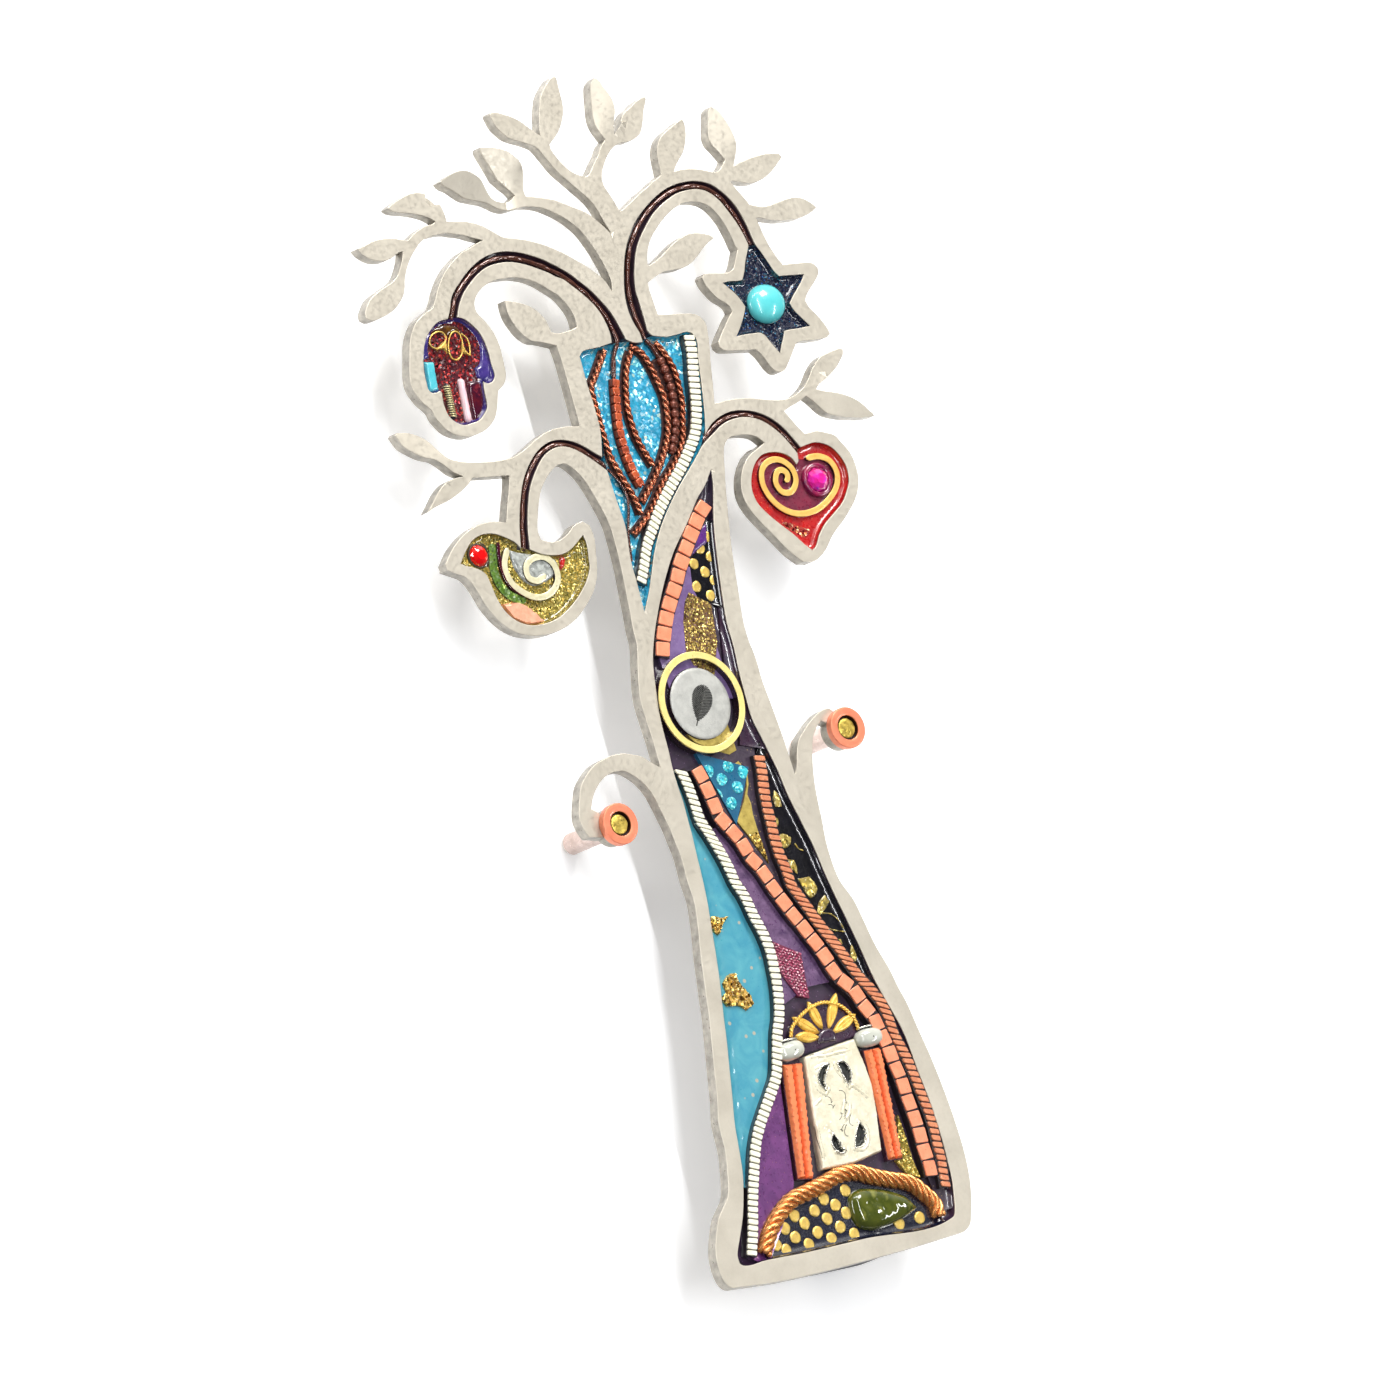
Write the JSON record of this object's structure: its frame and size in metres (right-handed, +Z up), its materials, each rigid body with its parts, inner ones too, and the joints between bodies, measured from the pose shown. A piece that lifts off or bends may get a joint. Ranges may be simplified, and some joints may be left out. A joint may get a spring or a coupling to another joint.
{
  "type": "tree-shaped wall scroll case",
  "caption": "Wall-hung scroll case shaped as a tree: pierced steel plate with clay, resin and metal inlay, scroll tray behind, held by two nails through copper eyelets.",
  "frame": {"origin": "centre of the flat back of the scroll tray, which lies on the wall", "axes": "+X to the right seen from the front, +Z up the trunk, +Y into the wall, the decorated front faces -Y"},
  "size_m": [0.0645, 0.0215, 0.1342],
  "materials": {
    "brushed_plate": "fine brushed, warm grey",
    "sheet_steel": "plain",
    "stopper_rubber": "matte black",
    "copper": "bright polished copper",
    "brass_nail": "worn brass",
    "dark_clay": "dark polymer clay",
    "turquoise_resin": "turquoise clay with foil flakes under resin",
    "maroon_glitter": "maroon glitter under resin",
    "navy_glitter": "navy glitter under resin",
    "red_clay": "red clay under resin",
    "olive_glitter": "green and gold glitter under resin",
    "dark_wire": "darkened copper wire",
    "copper_wire": "twisted copper wire",
    "silver_rib": "silver and cream ribbed strip",
    "gold_metal": "gold plated",
    "turquoise_stone": "polished turquoise",
    "pink_glass": "pink pearl glass",
    "red_crystal": "red crystal",
    "magenta_crystal": "magenta crystal",
    "maroon_setting": "dark maroon",
    "pink_copper": "pink copper foil chip",
    "purple_clay": "purple clay",
    "gold_foil": "crumpled gold foil",
    "black_gold": "black with gold blobs and dots",
    "pink_weave": "pink woven foil",
    "silver_metal": "frosted silver",
    "pearl": "pearl white",
    "rope_gold": "antique gold rope",
    "green_glass": "olive green stone"
  },
  "bodies": {
    "root": {"backing_sheet": "sheet_steel", "base_dotted_field": "black_gold", "bead_chain_left": "copper_wire", "bead_chain_right": "copper_wire", "bird_copper_chip": "pink_copper", "bird_eye": "red_crystal", "bird_inlay": "olive_glitter", "bird_spiral": "silver_rib", "bird_stem_wire": "dark_wire", "branch_turquoise_inlay": "turquoise_resin", "capital_bead_left": "pearl", "capital_bead_right": "pearl", "cast_plaque": "silver_metal", "charcoal_field": "dark_clay", "column_left": "copper", "column_right": "copper", "copper_ribbed_strip": "copper_wire", "copper_tile_strip_lower": "copper", "copper_tile_strip_upper": "copper", "dotted_trunk_field": "black_gold", "eyelet_left": "copper", "eyelet_right": "copper", "front_plate": "brushed_plate", "gold_blob_field": "black_gold", "gold_foil_field": "gold_foil", "gold_ring": "gold_metal", "green_stone": "green_glass", "half_rosette": "gold_metal", "hand_inlay": "maroon_glitter", "hand_lotus": "gold_metal", "hand_pink_bead": "pink_glass", "hand_spring_coil": "silver_rib", "hand_stem_wire": "dark_wire", "hand_turquoise_chip": "turquoise_stone", "heart_gem": "magenta_crystal", "heart_gem_setting": "maroon_setting", "heart_inlay": "red_clay", "heart_spiral": "gold_metal", "heart_stem_wire": "dark_wire", "lower_clay_bed": "dark_clay", "pink_woven_patch": "pink_weave", "purple_field": "purple_clay", "rope_chain": "rope_gold", "scroll_tray": "sheet_steel", "silver_disc": "silver_metal", "silver_strip_lower": "silver_rib", "silver_strip_upper": "silver_rib", "star_cabochon": "turquoise_stone", "star_inlay": "navy_glitter", "star_stem_wire": "dark_wire", "turquoise_field": "turquoise_resin", "twisted_wire_a": "copper_wire", "twisted_wire_b": "copper_wire", "twisted_wire_c": "copper_wire", "twisted_wire_d": "copper_wire", "upper_clay_bed": "dark_clay"},
    "stopper": {"tray_stopper": "stopper_rubber"},
    "nail_left": {"nail_left": "brass_nail"},
    "nail_right": {"nail_right": "brass_nail"}
  },
  "joints": [
    {"name": "stopper_slide", "type": "slide", "parent": "root", "child": "stopper", "axis": [0, 0, -1], "range_m": [0, 0.01]},
    {"name": "nail_left_slide", "type": "slide", "parent": "root", "child": "nail_left", "axis": [0, -1, 0], "range_m": [0, 0.022]},
    {"name": "nail_right_slide", "type": "slide", "parent": "root", "child": "nail_right", "axis": [0, -1, 0], "range_m": [0, 0.022]}
  ]
}
